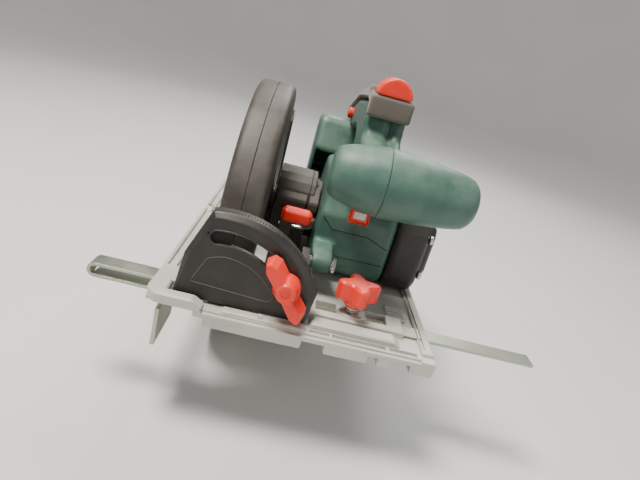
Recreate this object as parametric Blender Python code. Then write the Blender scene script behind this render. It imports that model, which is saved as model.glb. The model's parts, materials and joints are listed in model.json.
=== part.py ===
"""Corded circular saw with a tilting, depth-adjustable body on a die-cast base.

Row frame: origin at the middle of the base's sole, +X towards the motor, -X towards the blade,
+Y towards the rear, +Z up.  Lengths below are millimetres; build() writes metres.
"""
import math

import bmesh
import bpy
from mathutils import Matrix, Vector

MM = 0.001
GAP = 0.3                      # clearance kept between neighbouring pieces

# Driving dimensions
BASE_HALF_X = 87.5
BASE_HALF_Y = 150.0
DECK_LOW = 6.0
DECK_TOP = 10.0
RIB_LOW = 9.0                  # ribs start inside the deck
EDGE_X = BASE_HALF_X - 0.1     # outer faces of the side rims
BLADE_R = 95.0                 # 190 mm blade
BLADE_X = -47.5
BLADE_T = 2.0
ARBOR = (-8.0, 29.0)           # y, z of the saw spindle
MOTOR = (-22.0, 54.0)          # y, z of the armature
PIVOT = (-91.0, 32.0)          # y, z of the depth pivot
TILT = (BLADE_X, 6.0)          # x, z of the bevel axis
GUARD_R = 103.0
LOWER_R = 98.0
GUARD_LEFT = -61.5
GUARD_RIGHT = -34.0
GUARD_FLOOR = 27.0             # lower edge of the fixed guard
STRIP_R = 118.0                # depth strip's radius about the depth pivot
CLAMP = (PIVOT[0] + STRIP_R, PIVOT[1])
QUADRANT_R = 61.5
QUADRANT_Y = (-140.0, -128.0)
BOLT_R = 47.0                  # bevel bolt's distance from the bevel axis
BOLT_ANGLE = 37.0
WING_HALF_WIDTH = 5.0
WING_REACH = 20.8
BAR_Y = (-125.0, -113.0)       # parallel guide's strip
BAR_Z = (9.4, 11.4)
RETURN_Z = (1.8, 3.8)          # lower run of its doubled end
KNOB = (35.2, -119.0)          # guide knob's x, y
KNOB_LOBES = 4
HANDLE_X = (14.3, 40.7)        # width of the main handle
SEAM_X = 31.0                  # where its two shells meet
BAR_HANDLE = (-107.0, 99.0)    # y, z of the front handle's axis
LEVER = (-43.5, 36.0)          # y, z of the guard lever's pivot
LOCK_BUTTON = (-18.0, 59.0)    # x, z of the spindle lock button
LOUVRES = 5                    # cooling slats across the base
LOUVRE_STEP = 3.9
GEAR_TEETH = 42
PINION_TEETH = 10
CENTRES = math.dist(ARBOR, MOTOR)
MODULE = 2 * CENTRES / (GEAR_TEETH + PINION_TEETH)

COLOURS = {
    "green": ((0.035, 0.16, 0.115), 0.45, 0.0),
    "black": ((0.022, 0.02, 0.018), 0.5, 0.0),
    "soft": ((0.13, 0.115, 0.09), 0.75, 0.0),
    "red": ((0.85, 0.06, 0.03), 0.35, 0.0),
    "cast": ((0.58, 0.53, 0.44), 0.6, 0.3),
    "steel": ((0.6, 0.6, 0.58), 0.3, 1.0),
    "zinc": ((0.42, 0.43, 0.33), 0.4, 0.8),
    "dark_steel": ((0.12, 0.12, 0.12), 0.4, 0.9),
    "copper": ((0.7, 0.3, 0.15), 0.35, 1.0),
    "carbon": ((0.03, 0.03, 0.03), 0.7, 0.0),
    "badge": ((0.8, 0.8, 0.78), 0.4, 0.0),
}
AXES = {"x": (1, 2, 0), "y": (0, 2, 1), "z": (0, 1, 2)}   # two outline coordinates, then the depth


def clear_scene():
    for item in list(bpy.data.objects):
        bpy.data.objects.remove(item, do_unlink=True)


def material(kind):
    found = bpy.data.materials.get(kind)
    if found:
        return found
    colour, roughness, metallic = COLOURS[kind]
    made = bpy.data.materials.new(kind)
    made.use_nodes = True
    shader = made.node_tree.nodes["Principled BSDF"]
    shader.inputs["Base Color"].default_value = (*colour, 1.0)
    shader.inputs["Roughness"].default_value = roughness
    shader.inputs["Metallic"].default_value = metallic
    return made


def finish(name, bm, kind):
    """Turns a bmesh in millimetres into a named object in metres."""
    bmesh.ops.recalc_face_normals(bm, faces=bm.faces)
    bmesh.ops.scale(bm, vec=(MM, MM, MM), verts=bm.verts)
    mesh = bpy.data.meshes.new(name)
    bm.to_mesh(mesh)
    bm.free()
    mesh.shade_smooth()
    mesh.set_sharp_from_angle(angle=math.radians(32))
    made = bpy.data.objects.new(name, mesh)
    bpy.context.scene.collection.objects.link(made)
    if kind:
        mesh.materials.append(material(kind))
    return made


def prism(name, outline, axis, low, high, kind=None, bevel=0.0, segments=1):
    """A closed outline extruded along one axis, with optional rounded edges."""
    first, second, depth = AXES[axis]
    bm = bmesh.new()
    rings = []
    for level in (low, high):
        ring = []
        for point in outline:
            place = [0.0, 0.0, 0.0]
            place[first], place[second], place[depth] = point[0], point[1], level
            ring.append(bm.verts.new(place))
        rings.append(ring)
    bm.faces.new(rings[0])
    bm.faces.new(list(reversed(rings[1])))
    for i in range(len(outline)):
        j = (i + 1) % len(outline)
        bm.faces.new((rings[0][i], rings[0][j], rings[1][j], rings[1][i]))
    bmesh.ops.recalc_face_normals(bm, faces=bm.faces)
    if bevel:
        sharp = [e for e in bm.edges if e.calc_face_angle(0) > math.radians(35)]
        bmesh.ops.bevel(bm, geom=sharp, offset=bevel, segments=segments, profile=0.5,
                        affect="EDGES", clamp_overlap=True)
    return finish(name, bm, kind)


def box(name, x, y, z, kind=None, bevel=0.0):
    outline = [(x[0], y[0]), (x[1], y[0]), (x[1], y[1]), (x[0], y[1])]
    return prism(name, outline, "z", z[0], z[1], kind, bevel)


def turned(name, profile, axis, centre, kind=None, sides=32, start=0.0, sweep=360.0):
    """Revolves a closed (radius, depth) profile about a line along one axis."""
    first, second, depth = AXES[axis]
    bm = bmesh.new()
    whole = sweep >= 360.0
    count = sides if whole else sides + 1
    rings = []
    for i in range(count):
        angle = math.radians(start + sweep * i / sides)
        ring = []
        for radius, level in profile:
            place = [0.0, 0.0, 0.0]
            place[first] = centre[0] + radius * math.cos(angle)
            place[second] = centre[1] + radius * math.sin(angle)
            place[depth] = level
            ring.append(bm.verts.new(place))
        rings.append(ring)
    n = len(profile)
    for i in range(sides):
        near, far = rings[i], rings[(i + 1) % count]
        for j in range(n):
            k = (j + 1) % n
            bm.faces.new((near[j], near[k], far[k], far[j]))
    if not whole:
        bm.faces.new(rings[0])
        bm.faces.new(list(reversed(rings[-1])))
    bmesh.ops.remove_doubles(bm, verts=bm.verts, dist=0.0005)
    bmesh.ops.dissolve_degenerate(bm, dist=0.0002, edges=bm.edges)
    loose = [e for e in bm.edges if not e.link_faces]
    bmesh.ops.delete(bm, geom=loose, context="EDGES")
    return finish(name, bm, kind)


def disc(name, axis, centre, radius, low, high, kind=None, sides=32, hole=0.0, chamfer=0.0):
    """A round bar, or a ring where hole is given."""
    if hole:
        profile = [(hole, low), (radius, low), (radius, high), (hole, high)]
    else:
        profile = [(0, low), (radius - chamfer, low), (radius, low + chamfer),
                   (radius, high - chamfer), (radius - chamfer, high), (0, high)]
        if not chamfer:
            profile = [(0, low), (radius, low), (radius, high), (0, high)]
    return turned(name, profile, axis, centre, kind, sides)


def combine(target, others, operation):
    """Joins to, or cuts from, the target, and removes the helpers."""
    for other in others:
        step = target.modifiers.new(operation.lower(), "BOOLEAN")
        step.operation = operation
        step.solver = "EXACT"
        step.object = other
        bpy.context.view_layer.update()
        depsgraph = bpy.context.evaluated_depsgraph_get()
        mesh = bpy.data.meshes.new_from_object(target.evaluated_get(depsgraph))
        target.modifiers.clear()
        target.data = mesh
        bpy.data.objects.remove(other, do_unlink=True)
    target.data.shade_smooth()
    target.data.set_sharp_from_angle(angle=math.radians(32))
    return target


def join(target, *others):
    return combine(target, others, "UNION")


def cut(target, *others):
    return combine(target, others, "DIFFERENCE")


def arc(centre, radius, start, end, steps):
    return [(centre[0] + radius * math.cos(math.radians(start + (end - start) * i / steps)),
             centre[1] + radius * math.sin(math.radians(start + (end - start) * i / steps)))
            for i in range(steps + 1)]


def wire(name, points, radius, kind, sides=6, smooth=True):
    """A round wire along a path, with closed ends."""
    if smooth:
        points = spline(points)
    bm = bmesh.new()
    rings = []
    side = None
    for i, point in enumerate(points):
        here = Vector(point)
        ahead = Vector(points[min(i + 1, len(points) - 1)]) - Vector(points[max(i - 1, 0)])
        ahead.normalize()
        if side is None:
            side = ahead.orthogonal().normalized()
        side = (side - ahead * side.dot(ahead)).normalized()
        other = ahead.cross(side)
        rings.append([bm.verts.new(here + radius * (side * math.cos(a) + other * math.sin(a)))
                      for a in (2 * math.pi * k / sides for k in range(sides))])
    for near, far in zip(rings, rings[1:]):
        for k in range(sides):
            m = (k + 1) % sides
            bm.faces.new((near[k], near[m], far[m], far[k]))
    bm.faces.new(rings[0])
    bm.faces.new(list(reversed(rings[-1])))
    return finish(name, bm, kind)


def spline(points, steps=4):
    """A Catmull-Rom curve through the points."""
    path = [Vector(p) for p in points]
    path = [path[0] * 2 - path[1]] + path + [path[-1] * 2 - path[-2]]
    made = []
    for a, b, c, d in zip(path, path[1:], path[2:], path[3:]):
        for i in range(steps):
            t = i / steps
            made.append(0.5 * (2 * b + (c - a) * t + (2 * a - 5 * b + 4 * c - d) * t * t
                               + (3 * b - a - 3 * c + d) * t ** 3))
    made.append(path[-2])
    return made


def coil(name, axis, centre, radius, low, high, turns, thickness, kind):
    first, second, depth = AXES[axis]
    points = []
    steps = int(turns * 10)
    for i in range(steps + 1):
        angle = 2 * math.pi * turns * i / steps
        place = [0.0, 0.0, 0.0]
        place[first] = centre[0] + radius * math.cos(angle)
        place[second] = centre[1] + radius * math.sin(angle)
        place[depth] = low + (high - low) * i / steps
        points.append(place)
    return wire(name, points, thickness / 2, kind, sides=5, smooth=False)


def on_axis(name, place, *pieces):
    """Parents moving pieces to an empty that stands on their joint's axis."""
    empty = bpy.data.objects.new(name, None)
    bpy.context.scene.collection.objects.link(empty)
    empty.location = Vector(place) * MM
    for piece in pieces:
        piece.parent = empty
        piece.matrix_parent_inverse = Matrix.Translation(-empty.location)


# ---------------------------------------------------------------- base

def base_plate():
    """Die-cast frame: a deck on runners, with rims, ridges and the guide's channel standing on it."""
    deck = box("base_plate", (-BASE_HALF_X, BASE_HALF_X), (-BASE_HALF_Y, BASE_HALF_Y),
               (DECK_LOW, DECK_TOP), "cast")
    cut(deck, box("under_hook", (-95, -58.5), (-160, -142.2), (0, 20)))
    base_runners(deck)
    base_ribs(deck)
    base_recesses(deck)
    base_slots(deck)
    return deck


def base_runners(deck):
    front, rear = -BASE_HALF_Y + 0.01, BASE_HALF_Y - 0.01
    runners = ((-BASE_HALF_X, -76, -106), (-30, 6, front), (20, 47, front), (52.5, 61, front),
               (73, BASE_HALF_X, front))
    for low, high, start in runners:
        join(deck, box("runner", (low, high), (start, rear), (0, DECK_LOW + 1), bevel=1.0))
    join(deck, box("front_foot", (-52, 5.9), (-149.8, -128.2), (0.01, DECK_LOW + 1), bevel=1.0))
    join(deck, box("rear_foot", (-80, 5.8), (106, 149.8), (0.02, DECK_LOW + 1), bevel=1.0))


def base_ribs(deck):
    """Everything that stands on the deck; each rib starts at RIB_LOW, just inside it."""
    join(deck, box("channel", (-BASE_HALF_X + 0.2, 70), (-128.5, -109.2), (RIB_LOW, 14.4), bevel=0.8))
    ridge = [(-47.5, RIB_LOW), (-42, 11.9), (4.5, 11.9), (7.5, RIB_LOW)]
    join(deck, prism("front_ridge", ridge, "y", -147.0, -140.6, bevel=0.8))
    join(deck, box("ridge_nub", (-22, -19.5), (-146.4, -143), (11, 13.2)))
    step = [(8.5, RIB_LOW), (10.5, 13.9), (62, 13.9), (68, RIB_LOW)]
    join(deck, prism("middle_step", step, "y", -141, -131, bevel=1.0))
    join(deck, hook())
    join(deck, box("left_wall", (-EDGE_X, -84.6), (-142, 10), (RIB_LOW, 14.6), bevel=0.8))
    join(deck, box("left_lug", (-EDGE_X, -81), (10.2, 20), (RIB_LOW, 13.0), bevel=0.8))
    join(deck, box("left_rear_wall", (-EDGE_X, -84.6), (23, 104), (RIB_LOW, 14.6), bevel=0.8))
    join(deck, box("right_rim", (79.5, EDGE_X), (-143, 145), (RIB_LOW, 12.0), bevel=0.8))
    join(deck, disc("boss", "z", KNOB, 8.0, RIB_LOW, 15.6))
    for i in range(LOUVRES):
        y = -106.5 + LOUVRE_STEP * i
        join(deck, box("louvre", (62, 75), (y, y + 1.9), (RIB_LOW, 11.6), bevel=0.5))


def base_recesses(deck):
    """Lowered front lip, three shallow troughs behind it, and a finger recess."""
    cut(deck, box("front_lip", (-54, 79), (-151, -147.4), (8.7, 20)))
    for low, high in ((9.5, 22), (23.5, 57), (59, 77)):
        cut(deck, box("trough", (low, high), (-146.2, -141.6), (8.0, 20)))
    cut(deck, box("shallow", (12, 27), (-108.8, -101), (8.6, 20)))


def base_slots(deck):
    """Openings for the blade, the gear case, the guide's strip and the bevel pins."""
    cut(deck, box("blade_slot", (-76, -26), (-108, 106), (-5, 30)))
    cut(deck, box("guard_clearance", (-77.5, -60), (-112.2, -105), (11.3, 30)))
    cut(deck, box("gear_slot", (-31, -2.0), (-39, 23), (-5, 30)))
    cut(deck, box("front_pocket", (-61, -23), (-137.6, -132.6), (-5, 30)))
    cut(deck, box("tunnel", (-95, 95), (BAR_Y[0] - 0.5, BAR_Y[1] + 0.5),
                  (BAR_Z[0] - 0.4, BAR_Z[1] + 0.4)))
    cut(deck, disc("screw_hole", "z", KNOB, 2.8, 8, 20))
    for low, high in ((12, 26), (45, 59)):
        cut(deck, box("window", (low, high), (BAR_Y[0] + 2, BAR_Y[1] + 2), (10, 20)))
    cut(deck, disc("front_hole", "y", TILT, 2.8, -146, -131))
    cut(deck, disc("rear_hole", "y", TILT, 2.8, 104, 122))
    cut(deck, box("rail_groove", (80.5, 82.5), (-138, 146), (10.6, 14)))


def hook():
    """The front left corner of the frame: rounded, raised, and cut off at a slant on its right."""
    left = -BASE_HALF_X + 0.05
    outline = [(-54, -149.9), (-54, -142), (-76, -142), (-76, -129), (left, -129)]
    outline += arc((left + 9, -140.9), 9, 180, 270, 5)
    made = prism("hook", outline, "z", 8.6, 15.6, bevel=1.0)
    slant = [(-61.5, 16), (-50, 18), (-50, 6), (-56.5, 8), (-54.1, 11.6)]
    cut(made, prism("slant", slant, "y", -155, -135))
    return made


def bevel_quadrant():
    """Black arch across the front of the frame; its curved slot is open on the right half only."""
    low = DECK_TOP + 1.2
    outer = [(-74, low), (-71.3, 38)] + arc(TILT, QUADRANT_R, 101.5, 24, 18) + [(6, low)]
    made = prism("bevel_quadrant", outer, "y", *QUADRANT_Y, "black", bevel=0.8)
    inner = [(-71.2, low - 5), (-68.2, 37)] + arc(TILT, QUADRANT_R - 3, 100, 26, 18) + [(3, low - 5)]
    cut(made, prism("hollow", inner, "y", QUADRANT_Y[0] + 3, QUADRANT_Y[1] + 5))
    start = BOLT_ANGLE - 5
    for end, floor in ((BOLT_ANGLE + 51, QUADRANT_Y[1] + 5), (BOLT_ANGLE + 68, QUADRANT_Y[0] + 1.9)):
        slot = arc(TILT, BOLT_R + 3.6, start, end, 15) + arc(TILT, BOLT_R - 3.6, end, start, 15)
        cut(made, prism("slot", slot, "y", QUADRANT_Y[0] - 5, floor))
    cut(made, box("channel_space", (-80, 10), (-128.9, -127), (5, 14.8)))
    cut(made, box("ridge_space", (-50.4, 10.5), (-141, -140.2), (5, 12.3)))
    cut(made, box("step_space", (8.1, 20), (-141.4, -127), (5, 14.3)))
    cut(made, box("hook_space", (-90, -75.6), (-145, -127), (5, 16)))
    return made


def tilt_pins():
    front = disc("front_tilt_pin", "y", TILT, 2.5, -145.5, -132.9, "steel", sides=16)
    rear = disc("rear_tilt_pin", "y", TILT, 2.5, 101.5, 121.5, "steel", sides=16)
    return front, rear


# ---------------------------------------------------------------- parallel guide

def parallel_guide():
    """A flat steel strip, doubled at its left end, with a flange that runs along the workpiece."""
    y0, y1 = BAR_Y
    made = box("parallel_guide", (-124, 159.5), (y0, y1), BAR_Z, "zinc")
    bend_z = (BAR_Z[1] + RETURN_Z[0]) / 2
    outer_r, inner_r = BAR_Z[1] - bend_z, BAR_Z[0] - bend_z
    bend = arc((-124, bend_z), outer_r, 90, 270, 10) + arc((-124, bend_z), inner_r, 270, 90, 10)
    join(made, prism("bend", bend, "y", y0, y1))
    join(made, box("return", (-124.2, -77.6), (y0, y1), RETURN_Z))
    flange = [(-80.0, RETURN_Z[1] - 0.1), (-77.6, RETURN_Z[1] - 0.1), (-77.6, -21), (-80.0, -21)]
    join(made, prism("flange", flange, "y", y0 - 22, y1 + 4))
    return made


def guide_clamp():
    """Four-lobed knob, its screw, and the spring that lifts the knob off the guide's strip."""
    steps, turn = 32, 0.15
    lobes = []
    for a in (2 * math.pi * i / steps for i in range(steps)):
        reach = 11.2 + 3.2 * math.cos(KNOB_LOBES * a)
        lobes.append((reach * math.cos(a + turn) + KNOB[0], reach * math.sin(a + turn) + KNOB[1]))
    knob = prism("guide_knob", lobes, "z", 24.8, 37.3, "red", bevel=2.0)
    join(knob, disc("hub", "z", KNOB, 8.0, 22.4, 26.0))
    cut(knob, disc("bore", "z", KNOB, 3.1, 10, 35.3))
    screw = disc("guide_screw", "z", KNOB, 2.5, BAR_Z[1] + GAP, 34.8, "steel", sides=16, chamfer=0.5)
    spring = coil("guide_spring", "z", KNOB, 4.6, 16.6, 21.4, 2.5, 1.2, "steel")
    return knob, screw, spring


# ---------------------------------------------------------------- tilting frame

def front_bracket():
    """Steel plate behind the quadrant, with the ear that carries the depth pivot."""
    y0, y1 = -136.7, -133.7
    outline = arc(TILT, 5.4, 170, 350, 10) + arc(TILT, 53.0, 18, 46, 6) + arc(TILT, 36.0, 64, 66, 1)
    outline.append((TILT[0] - 5, TILT[1] + 12))
    made = prism("front_bracket", outline, "y", y0, y1, "steel")
    py, pz = PIVOT
    ear = arc((py, pz), 8.0, -90, 90, 10) + [(-126.5, 36), (-128.5, 32.5), (-134.2, 32.5), (-134.2, 23)]
    join(made, prism("ear", ear, "x", -3.6, 1.4))
    cut(made, disc("pin_hole", "y", TILT, 2.8, -140, -130, sides=16))
    cut(made, disc("pivot_hole", "x", PIVOT, 3.8, -9, 5, sides=20))
    cut(made, disc("bolt_hole", "y", bolt_centre(), 3.3, -140, -130, sides=20))
    return made


def depth_bracket():
    """Steel strip, curved about the depth pivot, on a foot that turns on the rear bevel pin."""
    x0, x1 = -33.3, -31.3
    strip = arc(PIVOT, STRIP_R + 6, -8.5, 41, 22) + arc(PIVOT, STRIP_R - 6, 41, -8.5, 22)
    made = prism("depth_bracket", strip, "x", x0, x1, "steel")
    slot = arc(PIVOT, STRIP_R + 2.6, -2.2, 38.8, 20) + arc(PIVOT, STRIP_R - 2.6, 38.8, -2.2, 20)
    cut(made, prism("slot", slot, "x", x0 - 2, x1 + 2))
    join(made, box("foot", (x0, x1), (16, 104.5), (11.0, 18.5)))
    plate = [(-53, 6), (-53, 12), (-48, 18.5), (x1, 18.5), (x1, 11)] + arc(TILT, 5.4, 0, -180, 10)
    join(made, prism("plate", plate, "y", 102.5, 104.5))
    cut(made, disc("pin_hole", "y", TILT, 2.8, 95, 110, sides=16))
    return made


def depth_pivot_pin():
    profile = [(0, -6.0), (3.5, -6.0), (3.5, 18.3), (5.5, 18.3), (5.5, 20.3), (0, 20.3)]
    return turned("depth_pivot_pin", profile, "x", PIVOT, "steel", sides=20)


def bolt_centre():
    angle = math.radians(BOLT_ANGLE)
    return TILT[0] + BOLT_R * math.cos(angle), TILT[1] + BOLT_R * math.sin(angle)


def bevel_clamp():
    """Two-lobed wing knob on a bolt through the quadrant's slot."""
    cx, cz = bolt_centre()
    outline = []
    lean = math.radians(125)
    steps = 32
    for i in range(steps):
        a = 2 * math.pi * i / steps
        r = WING_HALF_WIDTH / max(abs(math.sin(a)), WING_HALF_WIDTH / WING_REACH)
        outline.append((cx + r * math.cos(a + lean), cz + r * math.sin(a + lean)))
    knob = prism("bevel_knob", outline, "y", -154.0, -142.5, "red", bevel=1.5)
    join(knob, disc("hub", "y", (cx, cz), 7.5, -144, QUADRANT_Y[0] - GAP))
    cut(knob, disc("bore", "y", (cx, cz), 3.2, -151, -139, sides=20))
    profile = [(0, -150.5), (2.9, -150.5), (2.9, -133.2), (5.0, -133.2), (5.0, -130.4), (0, -130.4)]
    bolt = turned("bevel_bolt", profile, "y", (cx, cz), "steel", sides=20)
    return knob, bolt, (cx, cz)


# ---------------------------------------------------------------- guards and blade

def guard_half(name, wall, rim, hole):
    """Half of the fixed guard: a cup turned about the spindle, cut off above the base."""
    side = 1 if rim > wall else -1
    inner = wall + side * 2.5
    profile = [(hole, wall), (GUARD_R - 5, wall), (GUARD_R - 1.5, wall + side * 1.5),
               (GUARD_R, wall + side * 4), (GUARD_R, rim), (GUARD_R - 3, rim), (GUARD_R - 3, inner),
               (hole, inner)]
    made = turned(name, profile, "x", ARBOR, "black", sides=54)
    cut(made, box("below", (-80, -20), (-150, 150), (-120, GUARD_FLOOR)))
    return made


def upper_guard():
    outer = guard_half("upper_guard_outer", GUARD_LEFT, BLADE_X - GAP / 2, 36.0)
    inner = guard_half("upper_guard_inner", GUARD_RIGHT, BLADE_X + GAP / 2, 22.4)
    cut(inner, disc("bolt_head_hole", "x", CLAMP, 5.4, -45, -20, sides=20))
    return outer, inner


def lower_guard():
    left, right, wall = -57.6, -37.6, 1.5
    profile = [(24, left), (LOWER_R, left), (LOWER_R, right), (28, right), (28, right - wall),
               (LOWER_R - wall, right - wall), (LOWER_R - wall, left + wall), (24, left + wall)]
    made = turned("lower_guard", profile, "x", ARBOR, "steel", sides=30, start=190, sweep=180)
    join(made, disc("hub", "x", ARBOR, 29.0, right - wall - 0.3, right - 0.2, sides=32, hole=22.5))
    return made


def guard_spring():
    return coil("guard_spring", "x", ARBOR, 24.0, -33.3, -31.0, 1.8, 0.9, "steel")


def saw_blade():
    teeth = 24
    outline = []
    for i in range(teeth):
        a = 360.0 * i / teeth
        for radius, turn in ((BLADE_R - 8, 0.5), (BLADE_R - 9, 2.5), (BLADE_R - 1.5, 8.0),
                             (BLADE_R, 14.2)):
            angle = math.radians(a + turn)
            outline.append((ARBOR[0] + radius * math.cos(angle), ARBOR[1] + radius * math.sin(angle)))
    made = prism("saw_blade", outline, "x", BLADE_X - BLADE_T / 2, BLADE_X + BLADE_T / 2, "steel")
    cut(made, disc("bore", "x", ARBOR, 10.3, -60, -40))
    return made


def gear_outline(centre, teeth, phase):
    pitch = MODULE * teeth / 2
    points = []
    for i in range(teeth):
        a = 360.0 / teeth * i + phase
        step = 360.0 / teeth
        for radius, turn in ((pitch - 1.2 * MODULE, -0.36), (pitch + 0.85 * MODULE, -0.11),
                             (pitch + 0.85 * MODULE, 0.11), (pitch - 1.2 * MODULE, 0.36)):
            angle = math.radians(a + turn * step)
            points.append((centre[0] + radius * math.cos(angle), centre[1] + radius * math.sin(angle)))
    return points


def spindle_group():
    mesh_angle = math.degrees(math.atan2(MOTOR[1] - ARBOR[1], MOTOR[0] - ARBOR[0]))
    profile = [(0, -52.5), (10.0, -52.5), (10.0, -41.7), (7.5, -41.7), (7.5, -8), (5.0, -8),
               (5.0, 1.0), (0, 1.0)]
    spindle = turned("spindle", profile, "x", ARBOR, "steel", sides=24)
    cut(spindle, disc("thread_hole", "x", ARBOR, 4.2, -60, -36, sides=20))
    gear = prism("drive_gear", gear_outline(ARBOR, GEAR_TEETH, mesh_angle), "x", -26, -14, "dark_steel")
    cut(gear, disc("bore", "x", ARBOR, 7.5 + GAP, -40, -5, sides=24))
    inner = disc("inner_flange", "x", ARBOR, 16, -46.2, -42.0, "steel", hole=10.3)
    outer_profile = [(4.6, -54.2), (12, -54.2), (16, -51.5), (16, -48.8), (10.4, -48.8),
                     (10.4, -52.8), (4.6, -52.8)]
    outer = turned("outer_flange", outer_profile, "x", ARBOR, "steel", sides=28)
    bolt_profile = [(0, -59.4), (7.0, -59.4), (7.0, -54.5), (3.9, -54.5), (3.9, -37.5), (0, -37.5)]
    bolt = turned("blade_bolt", bolt_profile, "x", ARBOR, "dark_steel", sides=24)
    cut(bolt, disc("hex", "x", ARBOR, 3.2, -62, -56.5, sides=6))
    return spindle, gear, inner, outer, bolt, mesh_angle


# ---------------------------------------------------------------- gear case and motor

def case_outline(grow):
    """Round the gear and the pinion together."""
    lean = math.degrees(math.atan2(MOTOR[1] - ARBOR[1], MOTOR[0] - ARBOR[0]))
    low = arc(ARBOR, 26.0 + grow, lean + 90, lean + 270, 18)
    return low + arc(MOTOR, 20.0 + grow, lean - 90, lean + 90, 10)


def bridge(low, high):
    """The box over the gears, sloping down at its front."""
    outline = [(-47, 50), (-47, 57), (-38, 66), (-2, 66), (-2, 50)]
    return prism("bridge", outline, "x", low, high, bevel=1.2)


def gear_housing():
    made = prism("gear_housing", case_outline(2.0), "x", -30.3, -6.0, "black")
    join(made, disc("boss", "x", ARBOR, 22.0, -40.0, -30.0, sides=32))
    join(made, prism("clamp_arm", [(12, 20), (35, 24), (35, 40), (8, 46)], "x", -30.2, -8.0, bevel=1.0))
    join(made, bridge(-30.1, -6.1))
    join(made, box("lever_lug", (-22.5, -13.5), (-49.3, -34), (30, 42)))
    cavity = arc(ARBOR, 25.5, 0, 360, 28)[:-1]
    cut(made, prism("gear_cavity", cavity, "x", -27.3, 0))
    cut(made, disc("pinion_cavity", "x", MOTOR, 14.0, -28.5, 0))
    seat = [(0, -45), (13.0 + GAP, -45), (13.0 + GAP, -29), (9.0, -29), (9.0, -20), (0, -20)]
    cut(made, turned("bearing_seat", seat, "x", ARBOR, sides=28))
    cut(made, disc("clamp_hole", "x", CLAMP, 3.2, -40, 5, sides=20))
    cut(made, disc("lever_hole", "x", LEVER, 2.0, -24, -10, sides=14))
    cut(made, disc("lock_hole", "y", LOCK_BUTTON, 5.9, -7.9, 5, sides=24))
    return made


def bearing_plate():
    """Closes the gear case and carries the inner ends of both shafts."""
    made = prism("bearing_plate", case_outline(1.8), "x", -5.7, -2.7, "black")
    join(made, disc("spindle_boss", "x", ARBOR, 11.0, -4.0, 2.7))
    join(made, disc("armature_boss", "x", MOTOR, 15.0, -4.1, 2.6))
    join(made, bridge(-5.6, 2.5))
    seat = [(0, 8), (11.0 + GAP, 8), (11.0 + GAP, -4.2), (5.5, -4.2), (5.5, -10), (0, -10)]
    cut(made, turned("armature_seat", list(reversed(seat)), "x", MOTOR, sides=28))
    cut(made, disc("spindle_seat", "x", ARBOR, 8.0 + GAP, -8, 1.3, sides=24))
    return made


def motor_outline(grow=0.0):
    """The motor casing's section: flat front, sloping top front and flat top."""
    points = [(-70, 24), (-70, 60), (-62, 76), (-46, 87), (10, 87), (22, 78), (27, 64), (27, 32), (16, 14),
              (-52, 12), (-64, 15)]
    y, z = MOTOR
    return [(y + (p[0] - y) * (1 + grow), z + (p[1] - z) * (1 + grow)) for p in points]


def motor_housing():
    made = prism("motor_housing", motor_outline(), "x", 3.0, 59.0, "green", bevel=3.0)
    py, pz = PIVOT
    lug = arc((py, pz), 6.5, 90, 270, 10) + [(-62, pz - 8), (-62, pz + 9)]
    join(made, prism("pivot_lug", lug, "x", 3.1, 18.0, bevel=1.0))
    cut(made, disc("bore", "x", MOTOR, 32.6, 6.0, 70, sides=36))
    cut(made, disc("bearing_hole", "x", MOTOR, 12.0, 0, 10, sides=32))
    cut(made, disc("pivot_hole", "x", PIVOT, 3.8, -2, 25, sides=20))
    return made


def motor_end_cap():
    made = prism("motor_end_cap", motor_outline(), "x", 59.3, 84.0, "black", bevel=3.0)
    join(made, prism("end_dome", motor_outline(-0.2), "x", 80, 91.0, bevel=3.0))
    cut(made, disc("bore", "x", MOTOR, 32.6, 50, 78.0, sides=36))
    cut(made, disc("bearing_seat", "x", MOTOR, 9.0 + GAP, 70, 85.5, sides=28))
    for i in range(6):
        z = 34 + 8 * i
        for y in (-46, 2):
            cut(made, box("vent", (70, 100), (y - 9, y + 9), (z - 2, z + 2)))
    return made


def stator():
    made = disc("stator", "x", MOTOR, 32.0, 20.0, 52.0, "dark_steel", sides=36, hole=18.6)
    for side in (-1, 1):
        y = MOTOR[0] + side * 25
        cut(made, box("winding_slot", (18, 54), (y - 3.5, y + 3.5), (MOTOR[1] - 9, MOTOR[1] + 9)))
    return made


def armature_group(mesh_angle):
    y, z = MOTOR
    profile = [(0, -12.6), (4.0, -12.6), (4.0, 6.0), (4.8, 6.0), (4.8, 76), (3.5, 76), (3.5, 84.8),
               (0, 84.8)]
    shaft = turned("armature_shaft", profile, "x", MOTOR, "steel", sides=20)
    phase = mesh_angle + 180 + 180.0 / PINION_TEETH
    join(shaft, prism("pinion", gear_outline(MOTOR, PINION_TEETH, phase), "x", -26.5, -12.5))
    core = disc("armature_core", "x", MOTOR, 17.9, 22, 50, "dark_steel", sides=32, hole=4.8 + GAP)
    collector = disc("commutator", "x", MOTOR, 11.0, 57, 71, "copper", sides=28, hole=4.8 + GAP)
    fan = disc("cooling_fan", "x", MOTOR, 31.0, 8.0, 9.6, "black", sides=32, hole=4.8 + GAP)
    join(fan, disc("hub", "x", MOTOR, 9.0, 9.0, 17.0, sides=24, hole=4.8 + GAP))
    for i in range(9):
        a = math.radians(40 * i)
        out = Vector((math.cos(a), math.sin(a)))
        width = Vector((-math.sin(a), math.cos(a))) * 0.7
        near, far = Vector(MOTOR) + out * 8, Vector(MOTOR) + out * 30.5
        join(fan, prism("vane", [near - width, far - width, far + width, near + width], "x", 9.2, 16.5))
    return shaft, core, collector, fan


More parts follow.
